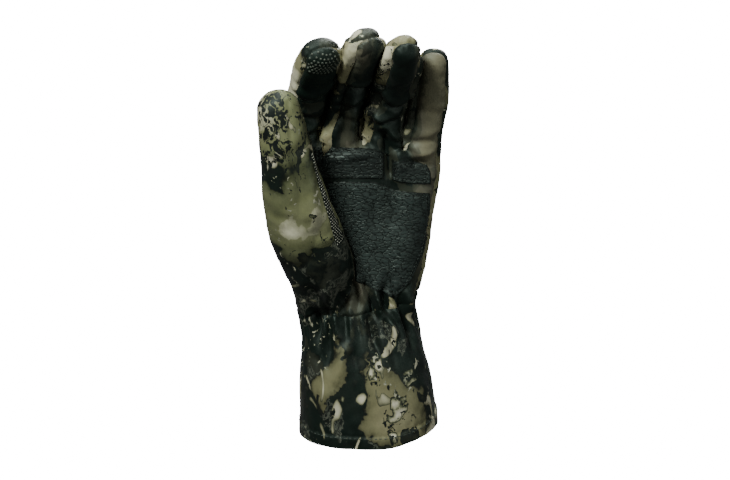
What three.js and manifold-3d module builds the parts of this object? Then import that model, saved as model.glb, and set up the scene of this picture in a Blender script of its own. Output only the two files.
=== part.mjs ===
// Windproof glove, the left one of a pair, in the form that it has with a hand in it.
//
// Frame, in millimetres: Z runs up the cuff towards the fingers, X to the little finger's
// side, and -Y out of the palm. The origin is the centre of the cuff's mouth.
//
// The glove is cut as the sewn one is. Solids for the hand, each finger and the thumb are
// lofted from the section tables below and joined. The same tables, one wall smaller, give
// the space inside. The skin between the two is then cut along the seams into its panels,
// with a small gap at each seam. The patches lie over the panels as thin raised layers.
import * as THREE from 'three';
import { mergeVertices } from 'three/addons/utils/BufferGeometryUtils.js';
import Module from 'manifold-3d';

const wasm = await Module();
wasm.setup();
const { Manifold, Mesh } = wasm;

// ---------------------------------------------------------------- driving sizes
const WALL = 2.0; // outer cloth, membrane and lining together
const GAP = 0.3; // between two pieces at a seam, and under a patch
const PATCH = 1.0; // thickness of a patch
const CUFF_TOP = 89.7; // where the cuff meets the hand, in the wrist's gather
const HAND_LOW = CUFF_TOP + GAP;
const HEM_HIGH = 9; // height of the cuff's turned-up hem
const HEM_EXTRA = 1.2; // what the turned-up cloth adds to the wall there
const HEM_LIFT = 6; // how much higher the mouth's rim is on the little finger's side
const GATHER_PLEATS = 15; // small pleats of the wrist's gather
const GATHER_DEPTH = 1.1;
const GATHER_REACH = 17; // how far above and below the wrist they fade out
const FLAT = 0.07; // cloth that is this flat needs no more triangles
const ROUND = { hand: 36, finger: 16, thumb: 20, cuff: 45 }; // corners of a section

// ---------------------------------------------------------------- section tables
// Each row is one section: its centre x, y, z, half its width and half its depth.
const HAND = [
  [-8.6, 0.0, 90, 41.2, 28.0],
  [-7.5, 0.5, 99, 42.5, 25.2],
  [-6.6, 1.0, 112, 44.6, 22.8],
  [-6.8, 1.0, 130, 47.2, 20.8],
  [-6.3, 0.5, 150, 49.7, 19.6],
  [-4.5, 0.0, 170, 51.2, 18.6],
  [-3.5, -1.0, 185, 51.3, 17.2],
  [-2.9, -2.2, 194, 50.2, 15.0],
];
const HAND_TOP = 8.5; // height of the rounded top that the fingers leave from
// Height of the crotches between the fingers against the hand's top row: x, change in z.
const CROTCHES = [[-60, -2], [-31, 1], [-4.5, 3.5], [22, -4.5], [55, -8]];

const CUFF = [
  [0.0, 0.0, 0, 47.0, 41.0],
  [-0.4, 0.0, 12, 46.6, 40.5],
  [-1.2, 0.0, 28, 45.7, 39.5],
  [-3.0, 0.0, 48, 43.3, 37.0],
  [-4.7, 0.0, 68, 41.2, 33.2],
  [-7.2, 0.0, 81, 40.8, 29.6],
  [-8.6, 0.0, 90, 41.2, 28.0],
];

// front and back are the angles, from straight forward, where the front panel ends and the
// back panel begins: first on the thumb's side, then on the little finger's side.
const FINGERS = {
  index: {
    dome: 10.5, turn: 14, front: [-50, 50], back: [-128, 128],
    rows: [
      [-42.8, -1.0, 182, 12.4, 13.5],
      [-43.1, -4.0, 202, 12.0, 12.6],
      [-42.3, -6.5, 218, 12.4, 12.0],
      [-40.3, -11.5, 231.5, 13.0, 11.8],
      [-37.6, -20.5, 244, 13.6, 11.6],
      [-34.1, -31.5, 256, 13.9, 11.2],
      [-29.9, -43.0, 267.5, 13.2, 10.6],
    ],
  },
  middle: {
    dome: 11, turn: 10, front: [-48, 50], back: [-130, 130],
    rows: [
      [-18.4, -1.0, 182, 13.0, 13.8],
      [-17.9, -4.0, 204, 12.5, 12.8],
      [-14.9, -6.2, 221, 12.2, 12.2],
      [-12.3, -10.5, 234.5, 12.0, 12.0],
      [-9.7, -18.0, 247, 12.0, 12.0],
      [-5.8, -28.5, 260, 12.3, 11.6],
      [-0.9, -40.0, 272.5, 12.0, 11.0],
    ],
  },
  ring: {
    dome: 10.5, turn: 8, front: [-48, 50], back: [-130, 130],
    rows: [
      [8.4, -1.0, 182, 12.8, 13.8],
      [8.9, -4.0, 202, 12.3, 12.8],
      [10.9, -6.5, 218, 11.9, 12.0],
      [13.6, -11.5, 231.5, 11.7, 11.8],
      [16.4, -20.0, 244, 11.8, 11.8],
      [19.8, -30.5, 256.5, 11.6, 11.4],
      [22.3, -41.5, 269, 11.0, 10.8],
    ],
  },
  little: {
    dome: 9.8, turn: 0, front: [-50, 52], back: [-128, 122],
    rows: [
      [34.8, -1.0, 178, 12.4, 13.0],
      [35.6, -3.5, 197, 12.4, 12.0],
      [37.4, -6.5, 212, 12.0, 11.4],
      [39.4, -9.5, 226, 11.9, 11.0],
      [40.8, -12.5, 238, 11.4, 10.8],
      [41.3, -15.5, 249, 11.0, 10.3],
      [41.1, -18.5, 257, 10.3, 9.6],
    ],
  },
};
const THUMB = {
  dome: 13,
  rows: [
    [-31.0, -11.5, 96, 19.0, 16.0],
    [-32.0, -19.0, 113, 20.8, 17.0],
    [-36.6, -28.0, 134, 23.4, 17.0],
    [-43.0, -36.0, 155, 23.0, 16.5],
    [-48.2, -42.0, 178, 20.2, 15.8],
    [-51.5, -46.0, 200, 17.5, 15.0],
    [-54.3, -48.5, 219, 15.6, 14.0],
    [-56.6, -50.0, 233, 14.0, 13.0],
  ],
};
// Broad folds: angle round the glove (0 at +X, 270 in front), half width in degrees, depth
// (negative goes in), lowest and highest z, and how far the fold turns per millimetre up.
const FOLDS = [
  [243, 9, -2.6, 44, 128, 0.10],
  [262, 8, 1.8, 30, 118, -0.05],
  [281, 9, -3.0, 50, 122, -0.16],
  [303, 10, 1.8, 26, 112, -0.22],
  [327, 10, -2.6, 38, 130, -0.10],
  [352, 11, 2.2, 60, 112, 0.0],
  [22, 12, -2.2, 40, 126, 0.12],
  [58, 11, 1.8, 24, 116, 0.08],
  [90, 11, -2.4, 46, 124, 0.0],
  [124, 11, 1.8, 34, 120, -0.08],
  [158, 12, -2.2, 52, 118, 0.0],
  [203, 12, -1.8, 56, 120, 0.05],
];

// ---------------------------------------------------------------- sections and lofts
const rad = (d) => (d * Math.PI) / 180;
const V = (x, y, z) => new THREE.Vector3(x, y, z);
const smooth = (t) => { const u = Math.min(1, Math.max(0, t)); return u * u * (3 - 2 * u); };
const power = (v, e) => Math.sign(v) * Math.abs(v) ** e;

function catmull(rows, s) {
  const last = rows.length - 1;
  const i = Math.min(last - 1, Math.max(0, Math.floor(s)));
  const t = s - i;
  const at = (k) => rows[Math.min(last, Math.max(0, k))];
  const [p, q, r, w] = [at(i - 1), at(i), at(i + 1), at(i + 2)];
  return q.map((_, k) => 0.5 * (2 * q[k] + (r[k] - p[k]) * t
    + (2 * p[k] - 5 * q[k] + 4 * r[k] - w[k]) * t * t
    + (3 * q[k] - p[k] - 3 * r[k] + w[k]) * t ** 3));
}

// A section with its centre and the directions across, forward and along.
function frameAt(rows, s, turn = 0) {
  const row = catmull(rows, s);
  const last = rows.length - 1;
  const a = catmull(rows, Math.max(0, s - 0.3));
  const b = catmull(rows, Math.min(last, s + 0.3));
  const along = V(b[0] - a[0], b[1] - a[1], b[2] - a[2]).normalize();
  const across = V(1, 0, 0).addScaledVector(along, -along.x).normalize();
  across.applyAxisAngle(along, rad(turn));
  const forward = across.clone().cross(along);
  return { centre: V(...row), across, forward, along, a: row[3], b: row[4] };
}

function section(f, a, b, corners, bulge = 2.3) {
  const points = [];
  for (let i = 0; i < corners; i += 1) {
    const t = (2 * Math.PI * i) / corners;
    points.push(f.centre.clone()
      .addScaledVector(f.across, a * power(Math.sin(t), 2 / bulge))
      .addScaledVector(f.forward, b * power(Math.cos(t), 2 / bulge)));
  }
  return points;
}

// Turns a closed three.js geometry into a solid that can be joined and cut.
function solidOf(geometry) {
  geometry.deleteAttribute('normal');
  geometry.deleteAttribute('uv');
  const merged = mergeVertices(geometry, 1e-5);
  return new Manifold(new Mesh({
    numProp: 3,
    vertProperties: new Float32Array(merged.attributes.position.array),
    triVerts: new Uint32Array(merged.index.array),
  }));
}

// One closed solid through a list of rings with the same number of corners each.
function loft(rings) {
  const n = rings[0].length;
  const points = rings.flat();
  const hubs = [rings[0], rings.at(-1)].map((ring) => ring
    .reduce((m, p) => m.add(p), V(0, 0, 0)).divideScalar(n));
  const top = (rings.length - 1) * n;
  const faces = [];
  for (let i = 0; i < n; i += 1) {
    const k = (i + 1) % n;
    for (let base = 0; base < top; base += n) {
      faces.push([base + i, base + k, base + n + k], [base + i, base + n + k, base + n + i]);
    }
    faces.push([k, i, points.length], [top + i, top + k, points.length + 1]);
  }
  const geometry = new THREE.BufferGeometry().setFromPoints([...points, ...hubs]);
  geometry.setIndex(faces.flat());
  const solid = solidOf(geometry);
  if (solid.volume() > 0) return solid;
  geometry.setIndex(faces.map(([a, b, c]) => [a, c, b]).flat());
  return solidOf(geometry);
}

const join = (solids) => Manifold.union(solids);
const steps = (rows, per) => Array.from({ length: (rows.length - 1) * per + 1 }, (_, i) => i / per);

// A finger or the thumb, `out` larger all round, with a rounded end.
function tube({ rows, dome, turn = 0 }, out, corners, low = 0) {
  const rings = [];
  const last = rows.length - 1;
  for (const s of [...new Set([low, ...steps(rows, 1).filter((v) => v > low), last])]) {
    const f = frameAt(rows, s, turn);
    if (s === low && out > 0) f.centre.addScaledVector(f.along, -out);
    rings.push(section(f, f.a + out, f.b + out, corners));
  }
  const end = frameAt(rows, last, turn);
  for (const t of [32, 58, 80]) {
    const f = { ...end, centre: end.centre.clone().addScaledVector(end.along, (dome + out) * Math.sin(rad(t))) };
    rings.push(section(f, (end.a + out) * Math.cos(rad(t)), (end.b + out) * Math.cos(rad(t)), corners));
  }
  return loft(rings);
}

// How far the gather and the folds push the cloth out at an angle and a height.
function cloth(angle, z) {
  const near = Math.exp(-(((z - CUFF_TOP) / GATHER_REACH) ** 2));
  let out = GATHER_DEPTH * near * Math.sin(rad(angle) * GATHER_PLEATS + 1.3 * Math.sin(rad(angle) * 3));
  for (const [at, width, depth, low, high, drift] of FOLDS) {
    const fade = smooth((z - low) / 18) * smooth((high - z) / 18);
    let d = angle - at - drift * (z - CUFF_TOP);
    d -= 360 * Math.round(d / 360);
    out += depth * fade * Math.exp(-((d / width) ** 2));
  }
  return out;
}

function lerpTable(table, x) {
  for (let i = 0; i + 1 < table.length; i += 1) {
    const [[x0, v0], [x1, v1]] = [table[i], table[i + 1]];
    if (x <= x1) return v0 + (v1 - v0) * smooth((x - x0) / (x1 - x0));
  }
  return table.at(-1)[1];
}

// A level section of the hand or the cuff, with the folds in it.
function level(row, out, corners, bulge, folds = 1) {
  const [cx, cy, z, a, b] = row;
  const points = [];
  for (let i = 0; i < corners; i += 1) {
    const t = (2 * Math.PI * i) / corners;
    const x = (a + out) * power(Math.sin(t), 2 / bulge);
    const y = -(b + out) * power(Math.cos(t), 2 / bulge);
    const angle = (Math.atan2(y, x) * 180) / Math.PI;
    const push = folds * cloth((angle + 360) % 360, z) / Math.hypot(x, y);
    points.push(V(cx + x * (1 + push), cy + y * (1 + push), z));
  }
  return points;
}

function hand(out, low = HAND_LOW) {
  const rings = [];
  for (const s of steps(HAND, 1)) {
    const row = catmull(HAND, s);
    if (row[2] < low + 2 && s > 0) continue;
    if (s === 0) row[2] = low;
    rings.push(level(row, out, ROUND.hand, 2.4));
  }
  const top = HAND.at(-1);
  for (const t of [30, 58, 80]) {
    const c = Math.cos(rad(t));
    const row = [top[0], top[1] - 1, top[2] + (HAND_TOP + out) * Math.sin(rad(t)),
      (top[3] + out) * (0.82 + 0.18 * c) - out, (top[4] + out) * (0.35 + 0.65 * c) - out];
    rings.push(level(row, out, ROUND.hand, 2.4));
  }
  const base = rings.length - 4;
  rings.slice(base).forEach((ring, k) => ring.forEach((p) => {
    p.z += lerpTable(CROTCHES, p.x) * (k / 3);
  }));
  return loft(rings);
}

// ---------------------------------------------------------------- cutters
// A slice of a tube between two angles from its front, and of no other tube beside it.
// `wider` moves both edges out.
function slice(shape, from, to, wider, ...rest) {
  return sector(shape, from, to, wider, ...rest).intersect(tube(shape, 0.1 + wider, ROUND.finger));
}

function sector(shape, from, to, wider, s0, s1, reach = 19, beyond = 0) {
  const { rows, turn = 0, dome } = shape;
  const rings = [];
  const list = [s0, ...steps(rows, 1).filter((v) => v > s0 + 0.2 && v < s1 - 0.2), s1];
  const half = rad(to - from) / 2;
  const middle = rad(from + to) / 2;
  for (const s of list) rings.push(wedge(frameAt(rows, s, turn), middle, half, wider, reach));
  if (beyond) {
    const f = frameAt(rows, s1, turn);
    f.centre.addScaledVector(f.along, dome + 4);
    rings.push(wedge(f, middle, half, wider, reach));
  }
  return loft(rings);
}

function wedge(f, middle, half, wider, reach) {
  const at = (angle, r) => V(0, 0, 0)
    .addScaledVector(f.across, r * Math.sin(angle)).addScaledVector(f.forward, r * Math.cos(angle));
  const apex = at(middle, -wider / Math.sin(Math.min(half, Math.PI / 2)));
  const points = [apex];
  for (let i = 0; i <= 6; i += 1) points.push(at(middle - half + (half * i) / 3, reach).add(apex));
  return points.map((p) => p.add(f.centre));
}

// A block that follows the hand: x from and to, y from and to, given per height z.
function block(rows) {
  return loft(rows.map(([x0, x1, y0, y1, z]) => [V(x0, y0, z), V(x1, y0, z), V(x1, y1, z), V(x0, y1, z)]));
}

// A shape drawn as seen from the front, in x and z, and pushed through y from low to high.
function drawn(points, y0, y1) {
  const shape = new THREE.Shape(points.map(([x, z]) => new THREE.Vector2(x, z)));
  const geometry = new THREE.ExtrudeGeometry(shape, { depth: y1 - y0, bevelEnabled: false });
  return solidOf(geometry.rotateX(Math.PI / 2).translate(0, y1, 0));
}

const SIDE_Y = -8.5; // the hand's two side seams, a little forward of its middle
const WEB_BACK = 4.5; // how far back the side strips reach in the crotches

function frontCut(wider) {
  const edge = SIDE_Y + wider;
  const slab = block([[-90, 90, -80, edge, HAND_LOW - 5], [-90, 90, -80, edge, 187], [-90, 90, -80, edge - 3, 199 + wider]]);
  const wedges = Object.values(FINGERS).flatMap((f) => {
    const last = f.rows.length - 1;
    return [
      slice(f, ...f.front, wider, 0.4, last - 0.05),
      slice(f, -90, 90, wider, last - 0.15 - wider / 12, last, 19, 1),
    ];
  });
  return join([slab, ...wedges]);
}

function stripCut(left, right, wider) {
  const [l, r] = [FINGERS[left], FINGERS[right]];
  const end = l.rows.length - 1 - 0.19 + wider / 10;
  const foot = 0.95 - wider / 10;
  const sides = [
    slice(l, l.front[1], l.back[1], wider, foot, end),
    slice(r, r.back[0], r.front[0], wider, foot, end),
  ];
  const a = catmull(l.rows, 1);
  const b = catmull(r.rows, 1);
  const mid = (a[0] + a[3] + b[0] - b[3]) / 2;
  const web = block([
    [mid - 7 - wider, mid + 7 + wider, -12.5 - wider, WEB_BACK + wider, Math.min(a[2], b[2]) - 10 - wider],
    [mid - 7 - wider, mid + 7 + wider, -12.5 - wider, WEB_BACK + wider, Math.max(a[2], b[2]) + 2 + wider],
  ]);
  return join([...sides, web]);
}

// The heel of the thumb, which is cut in one with the thumb's tube.
const HEEL = [[-75, 84], [-10.5, 84], [-10.5, 113], [-12.5, 128], [-16, 140], [-30, 152], [-44, 158], [-75, 160]];
function thumbCut(wider) {
  const grown = HEEL.map(([x, z]) => [x + wider, z + (z > 84 ? wider : 0)]);
  return join([tube(THUMB, 0.5 + wider, ROUND.thumb), drawn(grown, -70, SIDE_Y + wider)]);
}

// ---------------------------------------------------------------- the skin and its panels
const fingerList = Object.values(FINGERS);
function body(out) {
  return join([
    hand(out, out < 0 ? HAND_LOW - 6 : HAND_LOW),
    ...fingerList.map((f) => tube(f, out, ROUND.finger)),
    tube(THUMB, out, ROUND.thumb),
  ]);
}
const below = solidOf(new THREE.BoxGeometry(300, 300, 100).translate(0, 0, HAND_LOW - 50));
const outer = body(0).subtract(below);
const inside = body(-WALL);
const skin = outer.subtract(inside);

const STRIPS = [['index', 'middle'], ['middle', 'ring'], ['ring', 'little']];
const thumbWide = thumbCut(GAP);
const stripsWide = join(STRIPS.map(([l, r]) => stripCut(l, r, GAP)));
// Drops the crumbs that a cut leaves, and the needless triangles on flat cloth.
const biggest = (solid) => solid.asOriginal().simplify(FLAT).decompose()
  .sort((a, b) => b.volume() - a.volume())[0];

const parts = {};
parts.thumb = biggest(skin.intersect(thumbCut(0)));
STRIPS.forEach(([l, r]) => {
  parts[`fourchette_${l}_${r}`] = biggest(skin.intersect(stripCut(l, r, 0)).subtract(thumbWide));
});
parts.palm_panel = biggest(skin.intersect(frontCut(0)).subtract(stripsWide).subtract(thumbWide));
parts.back_panel = biggest(skin.subtract(frontCut(GAP)).subtract(stripsWide).subtract(thumbWide));

// ---------------------------------------------------------------- patches over the panels
const layer = body(GAP + PATCH).subtract(body(GAP));
const PALM_PATCH = [
  [-30, 177.5], [-14, 178.5], [4, 178], [14.5, 173.5], [16, 172], [30, 171], [40.3, 169],
  [41.2, 148], [36.5, 130.5], [26.5, 112], [18, 101.5], [5, 106], [-8.5, 111], [-9.8, 128], [-15, 142], [-24, 156],
];
const BAND_INDEX_MIDDLE = [[-41, 200], [-20, 201], [2, 200], [10, 197], [10, 181], [-8, 182], [-30, 181.5], [-42, 181]];
const BAND_RING_LITTLE = [[15.5, 192], [26, 192], [38, 188.5], [40.5, 184], [41, 176.5], [28, 178], [15.5, 180]];
const front = (points) => drawn(points, -75, SIDE_Y - 1.5);
const clearOfThumb = thumbCut(GAP * 2);
parts.palm_patch = biggest(layer.intersect(front(PALM_PATCH)).subtract(clearOfThumb));
parts.band_index_middle = biggest(layer.intersect(front(BAND_INDEX_MIDDLE)).subtract(clearOfThumb));
parts.band_ring_little = biggest(layer.intersect(front(BAND_RING_LITTLE)));

const tipLayer = tube(FINGERS.index, GAP + PATCH, ROUND.finger).subtract(tube(FINGERS.index, GAP, ROUND.finger));
parts.index_tip_patch = biggest(tipLayer.intersect(sector(FINGERS.index, -44, 44, 0, 3.6, 6, 19, 1)));

const gripLayer = tube(THUMB, GAP + PATCH, ROUND.thumb).subtract(tube(THUMB, GAP, ROUND.thumb));
parts.thumb_grip_strip = biggest(gripLayer
  .intersect(sector(THUMB, 62, 92, 0, 2.6, 5.2, 30))
  .subtract(body(GAP * 2).intersect(hand(GAP * 2))));

// ---------------------------------------------------------------- the cuff
const CUFF_STEPS = [0, 0.25, 0.75, 0.9, 1.4, 2.2, 3, 3.7, 4.3, 4.8, 5.2, 5.6, 6];
function cuffSolid(inner) {
  const rings = [];
  for (const s of CUFF_STEPS) {
    const row = catmull(CUFF, s);
    const hem = row[2] < HEM_HIGH ? HEM_EXTRA : 0;
    const ring = level(row, inner ? -(WALL + hem) : 0, ROUND.cuff, 2.15);
    const lift = (p) => HEM_LIFT * smooth((p.x - 8) / 40) * smooth(1 - row[2] / 70);
    ring.forEach((p) => { p.z = Math.min(p.z + lift(p), CUFF_TOP); });
    rings.push(ring);
  }
  if (inner) { // runs out past both rims
    rings.unshift(rings[0].map((p) => V(p.x, p.y, p.z - 20)));
    rings.push(rings.at(-1).map((p) => V(p.x, p.y, p.z + 5)));
  }
  return loft(rings);
}
parts.cuff = biggest(cuffSolid(false).subtract(cuffSolid(true)));

// ---------------------------------------------------------------- meshes
const COLOURS = {
  back_panel: 0x6b6a4c, palm_panel: 0x3f4037, thumb: 0x7c7a58, cuff: 0x5d5d48,
  fourchette_index_middle: 0x9a987a, fourchette_middle_ring: 0x9a987a, fourchette_ring_little: 0x6c6b55,
  palm_patch: 0x2a3233, band_index_middle: 0x2f3736, band_ring_little: 0x4a4d48,
  index_tip_patch: 0x15201d, thumb_grip_strip: 0x4c4e48,
};
const ROUGH = { palm_patch: 0.55, band_index_middle: 0.55, band_ring_little: 0.55, index_tip_patch: 0.7, thumb_grip_strip: 0.7 };
const glove = new THREE.Group();
glove.name = 'windproof_glove';
for (const [name, solid] of Object.entries(parts)) {
  const { vertProperties, triVerts, numProp } = solid.getMesh();
  const position = new Float32Array((vertProperties.length / numProp) * 3);
  for (let i = 0; i < position.length / 3; i += 1) {
    for (let k = 0; k < 3; k += 1) position[i * 3 + k] = vertProperties[i * numProp + k];
  }
  const geometry = new THREE.BufferGeometry();
  geometry.setAttribute('position', new THREE.BufferAttribute(position, 3));
  geometry.setIndex(new THREE.BufferAttribute(new Uint32Array(triVerts), 1));
  geometry.computeVertexNormals();
  const material = new THREE.MeshStandardMaterial({ color: COLOURS[name], roughness: ROUGH[name] ?? 0.9, metalness: 0 });
  material.name = `${name}_material`;
  const mesh = new THREE.Mesh(geometry, material);
  mesh.name = name;
  glove.add(mesh);
}

export default glove;
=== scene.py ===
# %% [markdown]
# # A windproof glove, sewn in Blender
# One left glove of soft windproof cloth: a back, a palm, a thumb, side strips between the fingers,
# a leather patch and bands over the palm, and a flared cuff gathered at the wrist.
# The imported CAD model comes first. It is the fixed frame that every piece is fitted to.

# %% Load the frame
import math

import bmesh
import bpy
import numpy as np
from mathutils import Matrix, Vector
from mathutils.bvhtree import BVHTree
from mathutils.kdtree import KDTree


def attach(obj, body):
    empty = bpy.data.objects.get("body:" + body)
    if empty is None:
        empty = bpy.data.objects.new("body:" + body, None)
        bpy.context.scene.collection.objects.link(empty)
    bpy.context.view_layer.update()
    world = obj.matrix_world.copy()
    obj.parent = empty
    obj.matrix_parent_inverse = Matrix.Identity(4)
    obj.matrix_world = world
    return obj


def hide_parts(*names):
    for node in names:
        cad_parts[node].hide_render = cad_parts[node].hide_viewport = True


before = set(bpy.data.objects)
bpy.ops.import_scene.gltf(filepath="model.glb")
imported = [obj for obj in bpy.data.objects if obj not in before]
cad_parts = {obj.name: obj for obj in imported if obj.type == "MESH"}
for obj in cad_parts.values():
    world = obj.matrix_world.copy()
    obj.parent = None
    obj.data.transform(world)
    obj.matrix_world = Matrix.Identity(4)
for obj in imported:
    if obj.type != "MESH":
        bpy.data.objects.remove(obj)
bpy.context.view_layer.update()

MM = 0.001
print("nodes to dress:", sorted(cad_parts))

# %% [markdown]
# ## Camera
# The glove was photographed almost from the front and a little from above, with a long lens that keeps
# the fingers from looking larger than the cuff. A camera 1.25 m away, tilted down by 16 degrees,
# gives the same view. It could also be aimed with a constraint, but plain numbers stay put.

# %% Place the camera
TILT = 16


def placed(name, data):
    """A new object, linked to the scene."""
    thing = bpy.data.objects.new(name, data)
    bpy.context.scene.collection.objects.link(thing)
    return thing


camera = placed("camera", bpy.data.cameras.new("camera"))
camera.location = (-0.0023, -1.216577, 0.482482)
camera.rotation_euler = (math.radians(90 - TILT), 0, 0)
camera.data.lens = 93.4
camera.data.sensor_width = 36
bpy.context.scene.camera = camera
print("camera stands", round(-camera.location.y, 2), "m in front")

# %% [markdown]
# ## Light and floor
# A product picture like this is taken in a bright tent: large soft lamps, and a white ground with no
# horizon. Four round area lamps and a faint sky light the cloth. A bright white sky would be a simpler
# ground, but it would flood every fold with light. So the floor and a tent over it glow by themselves,
# an even white from every side, and are kept from lighting the cloth.

# %% Hang the lamps
GLOVE_MIDDLE = Vector((0, -0.01, 0.14))


def soft_lamp(name, place, size, power):
    lamp = placed(name, bpy.data.lights.new(name, "AREA"))
    lamp.data.shape = "DISK"
    lamp.data.size = size
    lamp.data.energy = power
    lamp.location = place
    lamp.rotation_euler = (GLOVE_MIDDLE - Vector(place)).to_track_quat("-Z", "Y").to_euler()


soft_lamp("key_lamp", (-0.5, -0.75, 1.2), 0.3, 27)
soft_lamp("fill_lamp", (1.0, -0.8, 0.35), 0.6, 3.5)
soft_lamp("top_lamp", (0.1, 0.35, 1.1), 0.6, 9)
soft_lamp("back_lamp", (0.35, 1.2, 0.75), 0.6, 11)
sky = bpy.data.worlds.new("sky")
bpy.context.scene.world = sky
sky.use_nodes = True
sky.node_tree.nodes["Background"].inputs["Color"].default_value = (1, 1, 1, 1)
sky.node_tree.nodes["Background"].inputs["Strength"].default_value = 0.11

# %% Lay the floor and raise the tent
FLOOR_HEIGHT = -0.12
TENT_RADIUS = 5
TENT_GLOW = 18
white_ground = bpy.data.materials.new("white_ground")
white_ground.use_nodes = True
ground = white_ground.node_tree.nodes["Principled BSDF"]
ground.inputs["Base Color"].default_value = (0.85, 0.85, 0.85, 1)
ground.inputs["Roughness"].default_value = 0.9
ground.inputs["Emission Color"].default_value = (1, 1, 1, 1)
ground.inputs["Emission Strength"].default_value = TENT_GLOW


def object_of(name, form, finish=None):
    """A new object whose mesh is the form, which is then freed."""
    mesh = bpy.data.meshes.new(name)
    form.to_mesh(mesh)
    form.free()
    if finish:
        mesh.materials.append(finish)
    return placed(name, mesh)


def surrounding(name, form, height):
    """Makes a stage piece that is seen, but lights nothing, shows in no gloss and casts no shadow."""
    around = object_of(name, form, white_ground)
    around.location.z = height
    around.visible_diffuse = False
    around.visible_glossy = False
    around.visible_shadow = False
    return around


floor_form = bmesh.new()
bmesh.ops.create_grid(floor_form, x_segments=1, y_segments=1, size=TENT_RADIUS)
floor = surrounding("floor", floor_form, FLOOR_HEIGHT)
tent_form = bmesh.new()
bmesh.ops.create_uvsphere(tent_form, u_segments=48, v_segments=24, radius=TENT_RADIUS)
tent = surrounding("tent", tent_form, 0)
print("floor at", round(floor.location.z, 2), "m under a tent of", len(tent.data.polygons), "faces")

# %% [markdown]
# ## The shape under the cloth
# A glove that is filled out has the shape of a hand, so it starts as a set of plain tubes: one for cuff
# and hand, one for each finger and one for the thumb. It could be sculpted from one block, but in a
# table every width stays a plain number. A row is a cut through the tube, in millimetres: its centre x,
# y and z, half its width and half its depth. The z axis runs up to the fingertips, the palm looks along
# minus y and the little finger is on the plus x side. These are the sizes that the CAD model has.

# %% Write down the tubes
HAND = [
    [0, 0, -8, 47.2, 41.2], [0, 0, 0, 47, 41], [-0.4, 0, 12, 46.6, 40.5], [-1.2, 0, 28, 45.7, 39.5],
    [-3, 0, 48, 43.3, 37], [-4.7, 0, 68, 41.2, 33.2], [-7.2, 0, 81, 40.8, 29.6], [-8.6, 0, 90, 41.2, 28],
    [-7.5, 0.5, 99, 42.5, 25.2], [-6.6, 1, 112, 44.6, 22.8], [-6.8, 1, 130, 47.2, 20.8],
    [-6.3, 0.5, 150, 49.7, 19.6], [-4.5, 0, 170, 51.2, 18.6], [-3.5, -1, 185, 51.3, 17.2],
    [-2.9, -2.2, 194, 50.2, 15],
]
TUBES = {
    "index": [[-42.8, -1, 182, 12.4, 13.5], [-43.1, -4, 202, 12, 12.6], [-42.3, -6.5, 218, 12.2, 11.6],
              [-40.3, -11.5, 231.5, 12.8, 11.4], [-37.6, -20.5, 244, 13.6, 11.8],
              [-34.1, -31.5, 256, 13.9, 11.4], [-29.9, -43, 267.5, 13, 10.6]],
    "middle": [[-18.4, -1, 182, 13, 13.8], [-17.9, -4, 204, 12.2, 12.8], [-15, -6.2, 221, 11.9, 12],
               [-12.4, -10.5, 234.5, 11.8, 11.6], [-10, -18, 247, 11.7, 11.6],
               [-6.3, -28.5, 260, 11.9, 11.8], [-1.6, -40, 272.5, 11.5, 11]],
    "ring": [[8.4, -1, 182, 12.8, 13.8], [8.9, -4, 202, 12, 12.6], [10.9, -6.5, 218, 11.7, 11.8],
             [13.6, -11.5, 231.5, 11.5, 11.6], [16.4, -20, 244, 11.5, 12],
             [19.9, -30.5, 256.5, 11.2, 11.6], [22.6, -41.5, 269, 10.6, 10.8]],
    "little": [[34.8, -1, 178, 12.4, 13], [35.8, -3.5, 197, 12.1, 12], [37.6, -6.5, 212, 11.8, 11.4],
               [39.6, -9.5, 226, 11.6, 11], [41, -12.5, 238, 11.2, 10.8],
               [41.4, -15.5, 249, 10.9, 10.3], [41.2, -18.5, 257, 10.2, 9.6]],
    "thumb": [[-30.5, -7.5, 84, 17.5, 15.5], [-31, -11.5, 96, 19, 16], [-32, -19, 113, 20.8, 17],
              [-36.6, -28, 134, 23.4, 17], [-43, -36, 155, 23, 16.5], [-48.2, -42, 178, 20.2, 15.8],
              [-51.5, -46, 200, 17.5, 15], [-54.3, -48.5, 219, 15.6, 14], [-56.6, -50, 233, 14, 13]],
}
FINGERS = ["index", "middle", "ring", "little"]
# length of the rounded end in mm, and turn of the tube about its own line in degrees
TIPS = {"index": 10.5, "middle": 11, "ring": 10.5, "little": 9.8, "thumb": 13}
TURNS = {"index": 14, "middle": 24, "ring": 10, "little": 0, "thumb": 0}
print("hand rows:", len(HAND), "other tubes:", list(TUBES))

# %% [markdown]
# A table gives only a few cuts. Between them a smooth curve is read, so that a few numbers make a soft
# shape. The same reading also gives the directions of the tube at that place: along it, across it and
# forward to the palm.

# %% Read a table between its rows
RIGHT, FRONT, UP = Vector((1, 0, 0)), Vector((0, -1, 0)), Vector((0, 0, 1))


def reading(rows, s):
    """The values at step s of a table, on a smooth curve through its rows."""
    rows = np.asarray(rows, float)
    k = int(min(max(math.floor(s), 0), len(rows) - 2))
    t = s - k
    a, b, c, d = (rows[min(max(j, 0), len(rows) - 1)] for j in (k - 1, k, k + 1, k + 2))
    square, cube = 2 * a - 5 * b + 4 * c - d, 3 * b - a - 3 * c + d
    return 0.5 * (2 * b + (c - a) * t + square * t**2 + cube * t**3)


def stance(name, s):
    """Centre, across, forward, along, half width and half depth at step s of a tube."""
    rows = TUBES[name]
    last = len(rows) - 1
    along = Vector((reading(rows, min(s + 0.3, last)) - reading(rows, max(s - 0.3, 0)))[:3]).normalized()
    across = (RIGHT - along * along.x).normalized()
    across.rotate(Matrix.Rotation(math.radians(TURNS[name]), 3, along))
    row = reading(rows, s)
    return Vector(row[:3]), across, across.cross(along), along, row[3], row[4]


print("middle of the index:", np.round(reading(TUBES["index"], 3), 1))

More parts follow.
